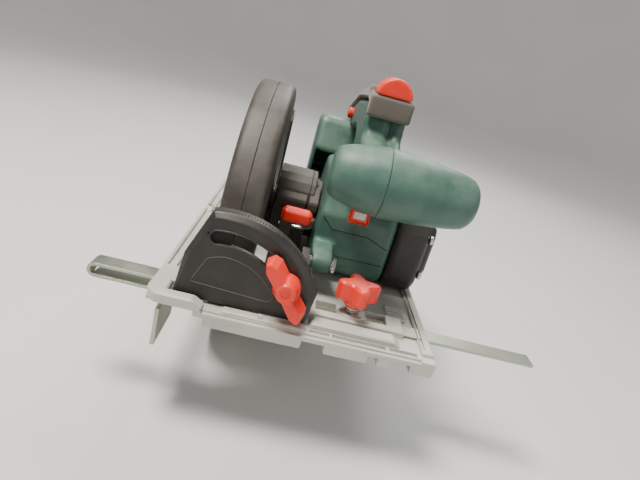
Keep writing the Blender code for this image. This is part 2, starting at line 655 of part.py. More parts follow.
def motor_bearings():
    seats = (("spindle_bearing", ARBOR, 13.0, 7.5, -39.4, -30.4),
             ("spindle_rear_bearing", ARBOR, 8.0, 5.0, -5.2, 0.8),
             ("armature_front_bearing", MOTOR, 11.0, 4.0, -3.8, 2.6),
             ("armature_rear_bearing", MOTOR, 9.0, 3.5, 78.6, 85.0))
    return [disc(name, "x", centre, radius, low, high, "steel", sides=28, hole=shaft + 0.06)
            for name, centre, radius, shaft, low, high in seats]


def brushes():
    made = []
    y, z = MOTOR
    for name, side in (("front", -1), ("rear", 1)):
        near, far = y + side * 11.3, y + side * 21
        made.append(box("carbon_brush_" + name, (61, 67), sorted((near, far)), (z - 4, z + 4), "carbon"))
        span = sorted((y + side * 13, y + side * 27))
        holder = box("brush_holder_" + name, (58.9, 69.1), span, (z - 6.1, z + 6.1), "copper")
        cut(holder, box("channel", (61 - GAP, 67 + GAP), sorted((y + side * 10, y + side * 25.5)),
                        (z - 4 - GAP, z + 4 + GAP)))
        made.append(holder)
    return made


# ---------------------------------------------------------------- rear housing and handles

def rear_housing():
    outline = [(27.4, 50), (27.4, 86), (40, 112), (60, 112), (76, 98), (80, 60), (74, 50)]
    made = prism("rear_housing", outline, "x", -10.0, 46.0, "green", bevel=5.0, segments=2)
    lower = [(27.5, 24), (27.5, 60), (78, 60), (71, 34), (55, 24)]
    join(made, prism("lower_part", lower, "x", 3.2, 45.8, bevel=4.0, segments=2))
    inside = [(20, 56), (20, 78), (31, 84), (43, 106), (57, 106), (71, 95), (75, 60)]
    cut(made, prism("hollow", inside, "x", -7, 43))
    cut(made, disc("cord_hole", "y", (18, 60), 6.5, 60, 90, sides=24))
    return made


def handle_shell(name, low, high):
    top = [(-77, 131.7), (-73, 139), (-60, 141), (0, 136), (62, 120), (70, 112.4)]
    under = [(38, 112.4), (30, 108.5), (-28, 117), (-42, 110), (-44, 87.4), (-72, 87.4), (-76, 82),
             (-98, 82), (-103, 99), (-96, 116), (-79, 122)]
    return prism(name, top + under, "x", low, high, "green", bevel=3.0)


def main_handle():
    seam_left, seam_right = SEAM_X - GAP / 2, SEAM_X + GAP / 2
    left = handle_shell("handle_left_shell", HANDLE_X[0], seam_left)
    profile = [(0, -1), (11.5, -1), (15.2, 1.2), (17.4, 7), (20.2, 20), (21.6, seam_left),
               (0, seam_left)]
    join(left, turned("bar", profile, "x", BAR_HANDLE, sides=32))
    right = handle_shell("handle_right_shell", seam_right, HANDLE_X[1])
    profile = [(0, seam_right), (21.6, seam_right), (21.2, 42), (19.8, 60), (17.8, 76), (16.0, 84.5),
               (12.0, 88.7), (6, 90), (0, 90)]
    join(right, turned("bar", profile, "x", BAR_HANDLE, sides=32))
    cavity = [(-70, 124), (-66, 135.5), (-56, 137.5), (0, 132.5), (56, 118), (30, 113), (-27, 121),
              (-50, 112), (-60, 100)]
    cut(left, prism("cavity", cavity, "x", HANDLE_X[0] + 2.5, 60))
    cut(right, prism("cavity", cavity, "x", 0, HANDLE_X[1] - 2.5))
    for shell in (left, right):
        cut(shell, box("trigger_slot", (20.7, 34.3), (-24, 14), (100, 125)))
    cut(left, disc("button_hole", "x", (24, 120.5), 4.9, 5, 20, sides=24))
    return left, right


def soft_grip():
    under = [(-77.3, 132.0), (-73.2, 139.4), (-60.1, 141.4), (0, 136.4), (62.2, 120.4), (70.4, 112.7)]
    outline = under + [(73, 114), (65, 124.5), (2, 141), (-58, 150), (-63.7, 150), (-63.7, 146),
                       (-82, 146), (-82, 132)]
    return prism("soft_grip", outline, "x", HANDLE_X[0] - 1, HANDLE_X[1] + 0.8, "soft", bevel=1.2)


def handle_cap():
    middle = (HANDLE_X[0] + HANDLE_X[1]) / 2
    outline = arc((middle, 146.3), 11.5, 0, 180, 16)
    return prism("handle_cap", outline, "y", -81.8, -64.0, "red", bevel=0.8)


def badge():
    return box("badge", (23.5, 36), (-72.5, -70.3), (60, 69.5), "badge", bevel=0.4)


def trigger():
    outline = [(-20, 122), (-20, 112), (-16, 104), (-8, 103), (4, 105), (9, 110), (9, 122)]
    return prism("trigger", outline, "x", 21.1, 33.9, "red", bevel=1.5)


def switch_block():
    return box("switch_block", (19.5, 35.5), (-18, 6), (125.4, 129.6), "carbon", bevel=0.6)


def lock_off_button():
    return disc("lock_off_button", "x", (24, 120.5), 4.5, 10.5, 17.0, "red", sides=24, chamfer=1.0)


def spindle_lock():
    return disc("spindle_lock_button", "y", LOCK_BUTTON, 5.5, -4.5, 5.0, "red", sides=24, chamfer=1.0)


def depth_clamp():
    profile = [(0, -36.2), (5.0, -36.2), (5.0, -33.6), (2.4, -33.6), (2.4, 1.0), (0, 1.0)]
    bolt = turned("depth_clamp_bolt", profile, "x", CLAMP, "steel", sides=20)
    y, z = CLAMP
    outline = arc((y, z), 7.0, 60, 300, 12)
    outline += [(y + 16, z - 5.5), (y + 44, z - 11), (y + 48, z - 7), (y + 46, z - 2), (y + 18, z + 5)]
    lever = prism("depth_clamp_lever", outline, "x", -7.5, 0.8, "red", bevel=1.2)
    cut(lever, disc("bore", "x", CLAMP, 2.7, -20, 5, sides=20))
    return lever, bolt


def guard_lever():
    y, z = LEVER
    rod = wire("guard_lever_rod", [(-23.4, y, z), (-12.6, y, z), (-4.5, y - 2, z + 1), (0.2, y - 8, z + 5),
                                   (0.9, y - 15, z + 11), (0.6, y - 19.2, z + 14.6), (-4, y - 20, z + 15.1),
                                   (-19.5, y - 20, z + 15.1)], 1.4, "steel")
    grip = box("guard_lever_grip", (-23, -1.0), (y - 25, y - 15), (z + 9.8, z + 20.4), "red", bevel=2.6)
    cut(grip, disc("bore", "x", (y - 20, z + 15.1), 1.75, -20.5, 5, sides=12))
    return rod, grip


def casing_screws():
    made = []
    for i, (y, z) in enumerate(((-65, 30), (-65, 58), (22, 66), (22, 34))):
        name = f"end_cap_screw_{i + 1}"
        made.append(disc(name, "x", (y, z), 3.2, 84.3, 87.0, "steel", sides=16, chamfer=0.5))
    return made


def cable_inlet():
    return disc("cable_inlet", "y", (18, 60), 6.1, 70.0, 84.0, "black", sides=24, hole=4.0)


def build():
    clear_scene()
    base_plate()
    bevel_quadrant()
    tilt_pins()
    guide = parallel_guide()
    on_axis("guide_slide", (0, BAR_Y[0] + 6, BAR_Z[0] + 1), guide)
    knob, screw, spring = guide_clamp()
    on_axis("guide_knob_turn", (KNOB[0], KNOB[1], 30), knob, screw)
    front = front_bracket()
    strip = depth_bracket()
    pin = depth_pivot_pin()
    on_axis("bevel_tilt", (TILT[0], 0, TILT[1]), front, strip, pin)
    wing, bolt, centre = bevel_clamp()
    on_axis("bevel_knob_turn", (centre[0], -148, centre[1]), wing, bolt)
    body = [*upper_guard(), guard_spring(), gear_housing(), bearing_plate(), motor_housing(),
            motor_end_cap(), stator(), rear_housing(), soft_grip(), handle_cap(), badge(),
            switch_block(), cable_inlet()]
    body += [*main_handle(), *motor_bearings(), *brushes(), *casing_screws()]
    on_axis("depth_swing", (0, *PIVOT), *body)
    on_axis("guard_swing", (BLADE_X, *ARBOR), lower_guard())
    rod, grip = guard_lever()
    on_axis("guard_lever_swing", (-12, *LEVER), rod, grip)
    spindle, gear, inner, outer, blade_bolt, mesh_angle = spindle_group()
    on_axis("blade_spin", (BLADE_X, *ARBOR), spindle, gear, inner, outer, blade_bolt, saw_blade())
    on_axis("armature_spin", (35, *MOTOR), *armature_group(mesh_angle))
    on_axis("trigger_pull", (27.5, -20, 124), trigger())
    on_axis("lock_off_press", (10.5, 24, 120.5), lock_off_button())
    on_axis("spindle_lock_press", (LOCK_BUTTON[0], 5, LOCK_BUTTON[1]), spindle_lock())
    lever, clamp_bolt = depth_clamp()
    on_axis("depth_clamp_turn", (0, *CLAMP), lever, clamp_bolt)


build()
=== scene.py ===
"""Looks of the corded circular saw: rounded mouldings, cast and plated metal, dust and wear."""
import json
import math

import bmesh
import bpy
from mathutils import Matrix, Vector

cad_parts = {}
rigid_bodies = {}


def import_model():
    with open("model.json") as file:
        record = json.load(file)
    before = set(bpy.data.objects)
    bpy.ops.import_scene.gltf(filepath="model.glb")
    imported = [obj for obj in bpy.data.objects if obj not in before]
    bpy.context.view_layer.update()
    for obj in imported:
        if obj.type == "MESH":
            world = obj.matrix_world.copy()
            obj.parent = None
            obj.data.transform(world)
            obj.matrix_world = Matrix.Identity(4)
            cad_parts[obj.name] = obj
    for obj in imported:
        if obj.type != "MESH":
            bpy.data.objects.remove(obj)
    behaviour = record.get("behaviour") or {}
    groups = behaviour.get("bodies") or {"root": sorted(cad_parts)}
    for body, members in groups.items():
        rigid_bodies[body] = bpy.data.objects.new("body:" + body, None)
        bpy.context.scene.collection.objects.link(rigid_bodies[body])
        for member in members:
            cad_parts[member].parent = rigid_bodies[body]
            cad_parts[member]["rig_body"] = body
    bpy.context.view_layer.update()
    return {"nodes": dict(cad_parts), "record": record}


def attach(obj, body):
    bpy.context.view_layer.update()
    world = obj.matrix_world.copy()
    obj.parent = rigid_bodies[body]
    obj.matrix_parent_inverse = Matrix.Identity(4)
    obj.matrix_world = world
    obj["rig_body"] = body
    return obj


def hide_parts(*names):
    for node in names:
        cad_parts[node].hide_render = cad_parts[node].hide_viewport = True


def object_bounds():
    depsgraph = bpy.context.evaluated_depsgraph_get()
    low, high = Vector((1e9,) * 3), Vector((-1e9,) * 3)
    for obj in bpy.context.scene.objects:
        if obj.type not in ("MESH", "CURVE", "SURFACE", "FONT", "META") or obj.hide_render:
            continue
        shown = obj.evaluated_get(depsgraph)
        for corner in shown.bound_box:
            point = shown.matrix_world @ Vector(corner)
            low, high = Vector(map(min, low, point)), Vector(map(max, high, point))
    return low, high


MM = 0.001                              # every length below is in mm, in the saw's own frame
CAMERA_AT = (-24.1, -402.4, 163.1)
CAMERA_TURN = 5.52                      # degrees from +Y towards +X
CAMERA_DROP = -20.25                    # degrees below level
CAMERA_ROLL = 15.9                      # the saw leans over in this view
LENS = 28.34
SENSOR = 36.0

TILT = (-47.5, 6.0)                     # x, z of the bevel axis
BOLT_R = 47.0                           # the quadrant slot's middle radius
BOLT_ANGLE = 37                         # where the bevel bolt stands in the slot, degrees from +X
BOLT = (TILT[0] + BOLT_R * math.cos(math.radians(BOLT_ANGLE)),
        TILT[1] + BOLT_R * math.sin(math.radians(BOLT_ANGLE)))
SLOT_HALF_WIDTH = 3.6
SLOT_END = 98.5                         # middle of the slot's round upper end, degrees
QUADRANT_FACE = -140.0                  # y of the quadrant's front
RIM_TICKS = 42
FIRST_TICK = 27                         # degrees
TICK_STEP = 1.7                         # degrees
TICK_WIDTH = 0.6                        # degrees
WING_LEAN = 127.0                       # the wing knob's lobes, degrees from +X
WING_BACK = -142.6                      # y of the lobes' wide and narrow ends
WING_FRONT = -153.0

ARBOR = (-8.0, 29.0)                    # y, z of the spindle
GUARD_R = 102.7
GUARD_FLOOR = 27.0                      # z of the fixed guard's lower edge
GUARD_SIDES = 200
GUARD_WALL = 2.5

SEAM_X = 31.0                           # where the handle's two shells meet
NEAR_SEAM = 0.3                         # shell edges this close to the seam lie on it
SHELL_OVERLAP = 0.2                     # closes the seam while the handle is rounded
SEAM_HALF_WIDTH = 0.17
MOTOR_FRONT = -70.05                    # y of the lines on the motor housing
BADGE_FRONT = -72.45
BADGE_X = (25.6, 33.9)                  # the badge's pale middle
BADGE_Z = (62.4, 67.2)
LEDGE_SPANS = ((-127.5, 8.0), (24.0, 103.0))

WEAR_RADIUS = 0.9                       # how far wear reaches from an edge
GRAIN_STRENGTH = 0.6
AXES = {"y": (0, 2, 1), "z": (0, 1, 2)}     # the two coordinates across a turning axis, then its own


# ---------------------------------------------------------------- materials

class Graph:
    """A material's node tree, with short calls for the nodes used here."""

    def __init__(self, name):
        self.material = bpy.data.materials.new(name)
        self.material.use_nodes = True
        self.tree = self.material.node_tree
        self.shader = self.tree.nodes["Principled BSDF"]
        self.place = self.tree.nodes.new("ShaderNodeTexCoord").outputs["Object"]

    def link(self, source, target):
        self.tree.links.new(source, target)

    def noise(self, scale, detail=4.0, rough=0.55, stretch=None):
        node = self.tree.nodes.new("ShaderNodeTexNoise")
        node.inputs["Scale"].default_value = scale
        node.inputs["Detail"].default_value = detail
        node.inputs["Roughness"].default_value = rough
        place = self.place
        if stretch:
            mapping = self.tree.nodes.new("ShaderNodeMapping")
            mapping.inputs["Scale"].default_value = stretch
            self.link(self.place, mapping.inputs["Vector"])
            place = mapping.outputs["Vector"]
        self.link(place, node.inputs["Vector"])
        return node.outputs["Fac"]

    def ramp(self, value, low, high, start=0.0, end=1.0):
        node = self.tree.nodes.new("ShaderNodeMapRange")
        node.inputs["From Min"].default_value = low
        node.inputs["From Max"].default_value = high
        node.inputs["To Min"].default_value = start
        node.inputs["To Max"].default_value = end
        self.link(value, node.inputs["Value"])
        return node.outputs["Result"]

    def math(self, operation, first, second):
        node = self.tree.nodes.new("ShaderNodeMath")
        node.operation = operation
        for socket, value in zip(node.inputs, (first, second)):
            if isinstance(value, float):
                socket.default_value = value
            else:
                self.link(value, socket)
        return node.outputs["Value"]

    def mix(self, factor, first, second):
        node = self.tree.nodes.new("ShaderNodeMix")
        node.data_type = "RGBA"
        self.link(factor, node.inputs["Factor"])
        for socket, value in ((node.inputs["A"], first), (node.inputs["B"], second)):
            if isinstance(value, tuple):
                socket.default_value = (*value, 1.0)
            else:
                self.link(value, socket)
        return node.outputs["Result"]

    def rounded_edges(self, radius):
        node = self.tree.nodes.new("ShaderNodeBevel")
        node.samples = 4
        node.inputs["Radius"].default_value = radius * MM
        return node.outputs["Normal"]

    def edge_mask(self, radius):
        """1 on the object's edges and 0 on its flats."""
        geometry = self.tree.nodes.new("ShaderNodeNewGeometry")
        dot = self.tree.nodes.new("ShaderNodeVectorMath")
        dot.operation = "DOT_PRODUCT"
        self.link(self.rounded_edges(radius), dot.inputs[0])
        self.link(geometry.outputs["Normal"], dot.inputs[1])
        return self.ramp(dot.outputs["Value"], 0.995, 0.8)

    def facing_up(self):
        geometry = self.tree.nodes.new("ShaderNodeNewGeometry")
        split = self.tree.nodes.new("ShaderNodeSeparateXYZ")
        self.link(geometry.outputs["Normal"], split.inputs["Vector"])
        return self.ramp(split.outputs["Z"], 0.1, 1.0)

    def bump(self, height, distance, normal):
        node = self.tree.nodes.new("ShaderNodeBump")
        node.inputs["Strength"].default_value = GRAIN_STRENGTH
        node.inputs["Distance"].default_value = distance * MM
        self.link(height, node.inputs["Height"])
        self.link(normal, node.inputs["Normal"])
        return node.outputs["Normal"]


def surface(name, colour, rough, metal=0.0, dust=0.3, dust_colour=(0.36, 0.31, 0.24), grain=900.0,
            depth=0.05, wear=0.3, wear_colour=None, round_by=0.5, mottle=0.12, sheen=0.0, brushed=None):
    """A moulded, cast or plated finish: mottled colour, fine grain, worn edges and settled dust."""
    graph = Graph(name)
    shader = graph.shader
    dark = tuple(c * (1 - mottle) for c in colour)
    light = tuple(min(c * (1 + mottle) + 0.004, 1.0) for c in colour)
    tone = graph.mix(graph.ramp(graph.noise(28.0), 0.3, 0.7), dark, light)
    if wear:
        worn = wear_colour or tuple(min(c * 1.8 + 0.05, 1.0) for c in colour)
        patches = graph.ramp(graph.noise(160.0), 0.42, 0.62, 0.0, wear)
        scuffed = graph.math("MULTIPLY", graph.edge_mask(WEAR_RADIUS), patches)
        tone = graph.mix(scuffed, tone, worn)
    clouds = graph.ramp(graph.noise(55.0, 6.0, 0.65), 0.35, 0.72, 0.25, 1.0)
    on_top = graph.ramp(graph.facing_up(), 0.0, 1.0, dust * 0.35, dust)
    settled = graph.math("MULTIPLY", clouds, on_top)
    tone = graph.mix(settled, tone, dust_colour)
    graph.link(tone, shader.inputs["Base Color"])
    spread = graph.ramp(graph.noise(70.0), 0.3, 0.7, rough - 0.07, rough + 0.09)
    dulled = graph.math("MULTIPLY", settled, 0.3)
    graph.link(graph.math("ADD", spread, dulled), shader.inputs["Roughness"])
    shader.inputs["Metallic"].default_value = metal
    shader.inputs["Sheen Weight"].default_value = sheen
    height = graph.noise(grain, 3.0, 0.6, brushed)
    graph.link(graph.bump(height, depth, graph.rounded_edges(round_by)), shader.inputs["Normal"])
    return graph.material


def plastics():
    return {
        "green_plastic": surface(
            "green_moulding", (0.024, 0.095, 0.072), 0.40, dust=0.52, dust_colour=(0.29, 0.36, 0.27),
            depth=0.04, wear=0.4, wear_colour=(0.26, 0.42, 0.34), round_by=1.2, mottle=0.16),
        "black_plastic": surface(
            "black_moulding", (0.014, 0.012, 0.010), 0.42, dust=0.16, dust_colour=(0.20, 0.17, 0.13),
            wear=0.55, wear_colour=(0.13, 0.115, 0.10), round_by=0.8),
        "guard_plastic": surface(
            "dusty_guard", (0.028, 0.024, 0.020), 0.46, dust=0.45, dust_colour=(0.21, 0.18, 0.145),
            depth=0.07, wear=0.55, wear_colour=(0.19, 0.165, 0.14), round_by=1.2, mottle=0.2),
        "soft_grip": surface(
            "soft_overmould", (0.115, 0.098, 0.080), 0.72, dust=0.35, grain=1500.0, depth=0.08,
            wear=0.25, round_by=1.0, sheen=0.25),
        "red_plastic": surface(
            "red_moulding", (0.92, 0.030, 0.012), 0.32, dust=0.05, depth=0.03, wear=0.4,
            wear_colour=(0.97, 0.16, 0.10), round_by=0.8, mottle=0.06),
        "badge": surface("pale_plate", (0.80, 0.77, 0.74), 0.4, dust=0.15, depth=0.03, round_by=0.3),
        # near-black: real parting lines on the motor, and painted shade in the quadrant's slot
        "seam_and_shade": surface("shadow_line", (0.004, 0.006, 0.005), 0.8, dust=0.05, wear=0.0, round_by=0.1),
        "scuff": surface("scuffed_edge", (0.10, 0.088, 0.075), 0.5, dust=0.2, round_by=0.1),
    }


def metals():
    return {
        "cast_base": surface(
            "cast_alloy", (0.56, 0.55, 0.49), 0.42, 0.15, dust=0.28, dust_colour=(0.42, 0.385, 0.31),
            grain=700.0, depth=0.10, wear=0.45, wear_colour=(0.92, 0.92, 0.88), round_by=0.4),
        "zinc_steel": surface(
            "plated_steel", (0.42, 0.45, 0.37), 0.34, 0.85, dust=0.2, grain=300.0, depth=0.03,
            wear_colour=(0.75, 0.75, 0.7), round_by=0.4, brushed=(0.15, 1.0, 1.0)),
        "bright_steel": surface(
            "bright_steel", (0.62, 0.61, 0.58), 0.28, 1.0, dust=0.1, grain=400.0, depth=0.02,
            round_by=0.3, brushed=(1.0, 0.2, 1.0)),
        "blade_steel": surface(
            "ground_blade", (0.55, 0.55, 0.54), 0.3, 1.0, dust=0.15, grain=350.0, depth=0.02,
            round_by=0.2, brushed=(1.0, 0.2, 0.2)),
        "dark_steel": surface("oxide_steel", (0.035, 0.034, 0.033), 0.45, 0.6, dust=0.1, depth=0.03,
                              round_by=0.3),
        "copper": surface("brass", (0.70, 0.36, 0.16), 0.32, 1.0, dust=0.1, depth=0.03, round_by=0.3),
        "carbon": surface("carbon", (0.03, 0.03, 0.03), 0.7, dust=0.1, round_by=0.3),
    }


def paint(thing, material):
    thing.data.materials.clear()
    thing.data.materials.append(material)
    for face in thing.data.polygons:
        face.material_index = 0


# ---------------------------------------------------------------- shapes

def to_mesh(name, bm):
    """Turns a bmesh in millimetres into a mesh in metres."""
    bmesh.ops.recalc_face_normals(bm, faces=bm.faces)
    bmesh.ops.scale(bm, vec=(MM, MM, MM), verts=bm.verts)
    mesh = bpy.data.meshes.new(name)
    bm.to_mesh(mesh)
    bm.free()
    return mesh


def add(name, bm, body, material):
    """Makes a piece from a bmesh in millimetres, riding on a body."""
    mesh = to_mesh(name, bm)
    mesh.shade_smooth()
    mesh.set_sharp_from_angle(angle=math.radians(40))
    made = bpy.data.objects.new(name, mesh)
    bpy.context.scene.collection.objects.link(made)
    paint(made, material)
    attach(made, body)
    return made


def add_prism(name, outline, front, back, body, material):
    bm = bmesh.new()
    prism(bm, outline, front, back)
    return add(name, bm, body, material)


def tube(name, points, radius, body, material, sides=8, closed=False):
    """A round line along a path, ended flat or joined to its own start."""
    bm = bmesh.new()
    rings = []
    last = len(points) - 1
    side = None
    for i, point in enumerate(points):
        if closed:
            ahead = Vector(points[(i + 1) % len(points)]) - Vector(points[i - 1])
        else:
            ahead = Vector(points[min(i + 1, last)]) - Vector(points[max(i - 1, 0)])
        ahead.normalize()
        if side is None:
            side = ahead.orthogonal().normalized()
        side = (side - ahead * side.dot(ahead)).normalized()
        other = ahead.cross(side)
        ring = []
        for k in range(sides):
            angle = 2 * math.pi * k / sides
            outward = side * math.cos(angle) + other * math.sin(angle)
            ring.append(bm.verts.new(Vector(point) + radius * outward))
        rings.append(ring)
    pairs = list(zip(rings, rings[1:]))
    if closed:
        pairs.append((rings[-1], rings[0]))
    else:
        bm.faces.new(rings[0])
        bm.faces.new(list(reversed(rings[-1])))
    for near, far in pairs:
        for k in range(sides):
            m = (k + 1) % sides
            bm.faces.new((near[k], near[m], far[m], far[k]))
    return add(name, bm, body, material)


def arc(centre, radius, start, end, steps):
    return [(centre[0] + radius * math.cos(math.radians(start + (end - start) * i / steps)),
             centre[1] + radius * math.sin(math.radians(start + (end - start) * i / steps)))
            for i in range(steps + 1)]


def band(centre, inner, outer, start, end, steps):
    """Outline of a curved strip between two radii."""
    return arc(centre, inner, start, end, steps) + arc(centre, outer, end, start, steps)


def rounded(node, name, voxel, passes, material, shape=None):
    """Stands in for a CAD piece: its mesh, or a closer shape, softened as a moulding's edges are.

    A voxel size of 0 keeps the mesh as it is.
    """
    source = NODES[node]
    made = bpy.data.objects.new(name, shape or source.data.copy())
    bpy.context.scene.collection.objects.link(made)
    if voxel:
        remesh = made.modifiers.new("remesh", "REMESH")
        remesh.mode = "VOXEL"
        remesh.voxel_size = voxel * MM
        remesh.use_smooth_shade = True
    smooth = made.modifiers.new("smooth", "SMOOTH")
    smooth.factor = 0.5
    smooth.iterations = passes
    bpy.context.view_layer.update()
    mesh = bpy.data.meshes.new_from_object(made.evaluated_get(bpy.context.evaluated_depsgraph_get()))
    made.modifiers.clear()
    made.data = mesh
    mesh.name = name
    mesh.shade_smooth()
    paint(made, material)
    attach(made, source["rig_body"])
    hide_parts(node)
    return made


def loft(bm, near, far):
    """Adds a closed solid between two rings of points."""
    rings = [[bm.verts.new(point) for point in ring] for ring in (near, far)]
    bm.faces.new(rings[0])
    bm.faces.new(list(reversed(rings[1])))
    for i in range(len(near)):
        j = (i + 1) % len(near)
        bm.faces.new((rings[0][i], rings[0][j], rings[1][j], rings[1][i]))


def prism(bm, outline, front, back):
    """Adds a solid whose outline is drawn in x and z and runs along y."""
    loft(bm, [(x, front, z) for x, z in outline], [(x, back, z) for x, z in outline])


def lathe(bm, profile, axis, centre, sides=40):
    """Adds a solid turned from a closed (radius, depth) profile whose ends lie on the axis."""
    first, second, depth = AXES[axis]
    rings = []
    for radius, level in profile:
        ring = []
        for i in range(sides if radius else 1):
            angle = 2 * math.pi * i / sides
            place = [0.0, 0.0, 0.0]
            place[first] = centre[0] + radius * math.cos(angle)
            place[second] = centre[1] + radius * math.sin(angle)
            place[depth] = level
            ring.append(bm.verts.new(place))
        rings.append(ring)
    for near, far in zip(rings, rings[1:]):
        for i in range(sides):
            j = (i + 1) % sides
            corners = [near[i % len(near)], near[j % len(near)], far[j % len(far)], far[i % len(far)]]
            bm.faces.new([v for k, v in enumerate(corners) if v not in corners[:k]])


# ---------------------------------------------------------------- the saw

def dress_cad():
    """Every CAD node gets its slot's finish."""
    slots = {s["node"]: s["material_slot"] for s in frame["record"]["subparts"]}
    for name, node in NODES.items():
        paint(node, FINISH[slots[name]])


def soften_mouldings():
    """Mouldings with soft edges; voxel size and smoothing passes set how round they are."""
    table = (("motor_housing", "motor_shell", 1.4, 6, "green_plastic"),
             ("rear_housing", "rear_shell", 1.4, 8, "green_plastic"),
             ("motor_end_cap", "motor_cap", 1.3, 4, "black_plastic"),
             ("soft_grip", "soft_cover", 0.9, 3, "soft_grip"),
             ("handle_cap", "grip_end_cap", 0.8, 4, "red_plastic"),
             ("guide_knob", "star_knob", 0.45, 3, "red_plastic"),
             ("guard_lever_grip", "lever_grip", 0.6, 5, "red_plastic"),
             ("trigger", "trigger_face", 0.7, 5, "red_plastic"),
             ("depth_clamp_lever", "clamp_lever", 0.7, 5, "red_plastic"))
    for node, name, voxel, passes, kind in table:
        rounded(node, name, voxel, passes, FINISH[kind])


def closed_handle():
    """Both handle shells in one mesh, pushed together until they overlap at the seam."""
    bm = bmesh.new()
    for node, side in (("handle_left_shell", 1), ("handle_right_shell", -1)):
        copy = NODES[node].data.copy()
        for vertex in copy.vertices:
            if abs(vertex.co.x - SEAM_X * MM) < NEAR_SEAM * MM:
                vertex.co.x = (SEAM_X + side * SHELL_OVERLAP) * MM
        bm.from_mesh(copy)
    whole = bpy.data.meshes.new("handle_whole")
    bm.to_mesh(whole)
    bm.free()
    return whole


def soften_handle():
    """Rounds the two handle shells as one moulding and parts them again along a fine seam."""
    whole = closed_handle()
    for node, name, side in (("handle_left_shell", "handle_left", 1),
                             ("handle_right_shell", "handle_right", -1)):
        made = rounded(node, name, 1.3, 9, FINISH["green_plastic"], whole.copy())
        bm = bmesh.new()
        bm.from_mesh(made.data)
        bmesh.ops.bisect_plane(bm, geom=bm.verts[:] + bm.edges[:] + bm.faces[:],
                               plane_co=((SEAM_X - side * SEAM_HALF_WIDTH) * MM, 0, 0),
                               plane_no=(side, 0, 0), clear_outer=True)
        rim = [e for e in bm.edges if e.is_boundary]
        bmesh.ops.triangle_fill(bm, use_beauty=True, use_dissolve=False, edges=rim, normal=(side, 0, 0))
        bmesh.ops.recalc_face_normals(bm, faces=bm.faces)
        bm.to_mesh(made.data)
        bm.free()
        made.data.shade_smooth()
        made.data.set_sharp_from_angle(angle=math.radians(50))


def arch():
    """The quadrant, with a wide slope along its outer front edge."""
    mesh = NODES["bevel_quadrant"].data.copy()
    left, right, rim = -66, 4, 59           # the edge lies beyond these
    front = QUADRANT_FACE + 0.4             # the sloped edge's front line, and its back line
    back = QUADRANT_FACE + 1.1
    slope_depth = 3.1
    middle_x, inward = -38, 0.925
    foot_z, downward = 10, 0.955
    for vertex in mesh.vertices:
        x, y, z = (c / MM for c in vertex.co)
        outer = x < left or x > right or math.hypot(x - TILT[0], z - TILT[1]) > rim
        if not outer or z < foot_z + 3.5:
            continue
        if y < front:
            vertex.co.x = (middle_x + (x - middle_x) * inward) * MM
            vertex.co.z = (foot_z + (z - foot_z) * downward) * MM
        elif y < back:
            vertex.co.y = (QUADRANT_FACE + slope_depth) * MM
    rounded("bevel_quadrant", "quadrant_arch", 0.5, 1, FINISH["black_plastic"], mesh)


def gear_case():
    """Gear case and its cover; the rear top edge of the box over the gears is drawn forwards."""
    top = 63.2                              # the box's top stands above this
    rear = (-6.0, 0.0)                      # y on either side of its rear edge
    forwards, down = 16.0, 1.0
    for node, name in (("gear_housing", "gear_case"), ("bearing_plate", "gear_cover")):
        mesh = NODES[node].data.copy()
        for vertex in mesh.vertices:
            if vertex.co.z > top * MM and rear[0] * MM < vertex.co.y < rear[1] * MM:
                vertex.co.y -= forwards * MM
                vertex.co.z -= down * MM
        made = rounded(node, name, 0, 0, FINISH["guard_plastic"], mesh)
        made.data.set_sharp_from_angle(angle=math.radians(32))


def wing_knob():
    """Two lobes, wide at the back and narrow in front, on a stepped round hub with a dimple."""
    lean = math.radians(WING_LEAN)
    back = ((0, -5.0), (17, -5.4), (20.6, -2.6), (20.6, 2.6), (16.5, 5.2), (0, 4.8))
    front = ((0, -4.4), (15.5, -5.0), (19.8, -2.8), (19.8, -0.6), (15.5, 1.4), (0, 1.2))
    bm = bmesh.new()
    for side in (1, -1):
        rings = []
        for outline, level in ((back, WING_BACK), (front, WING_FRONT)):
            ring = []
            for along, across in outline:
                u, v = along * side, -across
                ring.append((BOLT[0] + u * math.cos(lean) - v * math.sin(lean), level,
                             BOLT[1] + u * math.sin(lean) + v * math.cos(lean)))
            rings.append(ring)
        loft(bm, *rings)
    hub = [(0, -152.6), (2.2, -152.6), (3.0, -153.95), (5.2, -153.95), (5.9, WING_FRONT), (6.6, -149.5),
           (8.2, -146.5), (8.2, -141.0), (0, -141.0)]
    lathe(bm, hub, "y", BOLT)
    rounded("bevel_knob", "wing_knob", 0.45, 3, FINISH["red_plastic"],
            to_mesh("wing_shape", bm))


def guard_shape(wall, rim, hole):
    """Half of the fixed guard, turned smooth about the spindle and cut off level at its foot."""
    side = 1 if rim > wall else -1
    inner = wall + side * GUARD_WALL
    profile = [(hole, wall), (96.3, wall), (99.4, wall + side * 0.5), (101.3, wall + side * 1.7),
               (102.3, wall + side * 3.4), (GUARD_R, wall + side * 5.6), (GUARD_R, rim), (100, rim),
               (100, inner), (hole, inner)]
    bm = bmesh.new()
    rings = []
    for i in range(GUARD_SIDES):
        angle = 2 * math.pi * i / GUARD_SIDES
        rings.append([bm.verts.new((x, ARBOR[0] + r * math.cos(angle), ARBOR[1] + r * math.sin(angle)))
                      for r, x in profile])
    for i in range(GUARD_SIDES):
        near, far = rings[i], rings[(i + 1) % GUARD_SIDES]
        for j in range(len(profile)):
            k = (j + 1) % len(profile)
            bm.faces.new((near[j], near[k], far[k], far[j]))
    bmesh.ops.bisect_plane(bm, geom=bm.verts[:] + bm.edges[:] + bm.faces[:], plane_co=(0, 0, GUARD_FLOOR),
                           plane_no=(0, 0, -1), clear_outer=True)
    bmesh.ops.holes_fill(bm, edges=bm.edges)
    return bm


